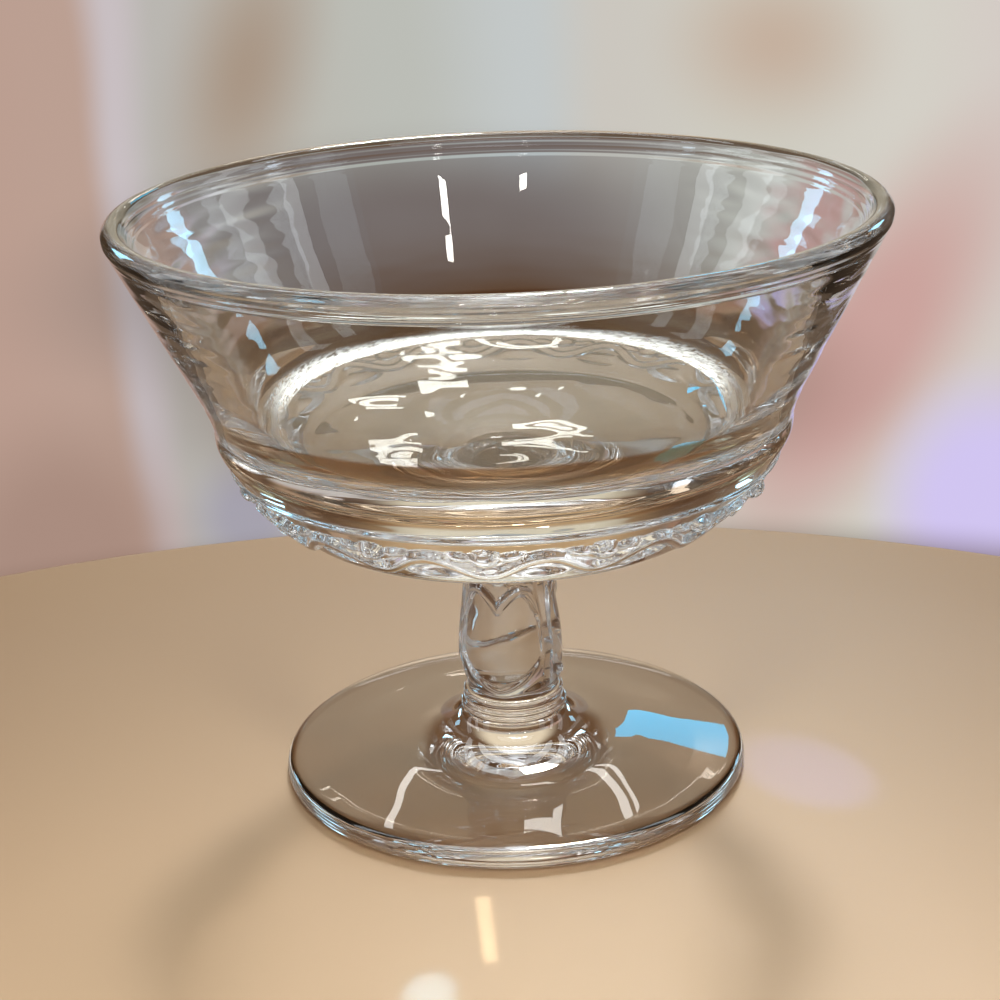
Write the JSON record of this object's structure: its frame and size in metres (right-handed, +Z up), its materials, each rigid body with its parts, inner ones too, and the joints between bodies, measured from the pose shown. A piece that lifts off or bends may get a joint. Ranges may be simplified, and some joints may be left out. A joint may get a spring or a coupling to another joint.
{
  "type": "champagne coupe",
  "caption": "Footed coupe in clear pressed glass: flared round bowl on a thick base with a beaded festoon border, short stem with heart panels, ringed collar and a flat disc foot.",
  "frame": {"origin": "centre of the foot's resting plane, on the axis of the glass", "axes": "+Z up along the axis of the glass; -Y is the side seen from the front"},
  "size_m": [0.1, 0.1, 0.0794],
  "materials": {
    "clear_glass": "clear, fire-polished"
  },
  "bodies": {
    "root": {"bowl": "clear_glass", "stem": "clear_glass", "collar": "clear_glass", "foot": "clear_glass"}
  },
  "joints": []
}
